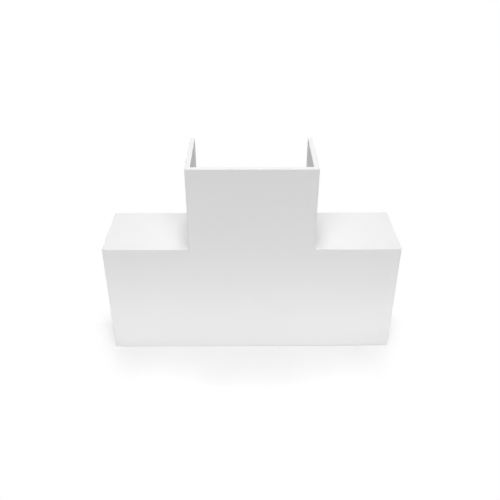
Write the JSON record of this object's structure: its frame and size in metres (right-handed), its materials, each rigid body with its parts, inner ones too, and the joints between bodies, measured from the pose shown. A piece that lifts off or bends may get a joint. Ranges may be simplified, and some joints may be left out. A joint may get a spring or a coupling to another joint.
{
  "type": "trunking tee fitting",
  "caption": "T-shaped, open-backed moulded shell that covers the joint where a branch of rectangular cable trunking leaves a straight run.",
  "frame": {"origin": "bottom centre of the part's box: the middle of the bottom wall's underside", "axes": "+X along the run, -Y out of the front plate, +Y out of the open back, +Z along the branch"},
  "size_m": [0.105, 0.027, 0.0745],
  "materials": {
    "white_pvc": "fine satin, as moulded"
  },
  "bodies": {
    "root": {"tee_shell": "white_pvc"}
  },
  "joints": []
}
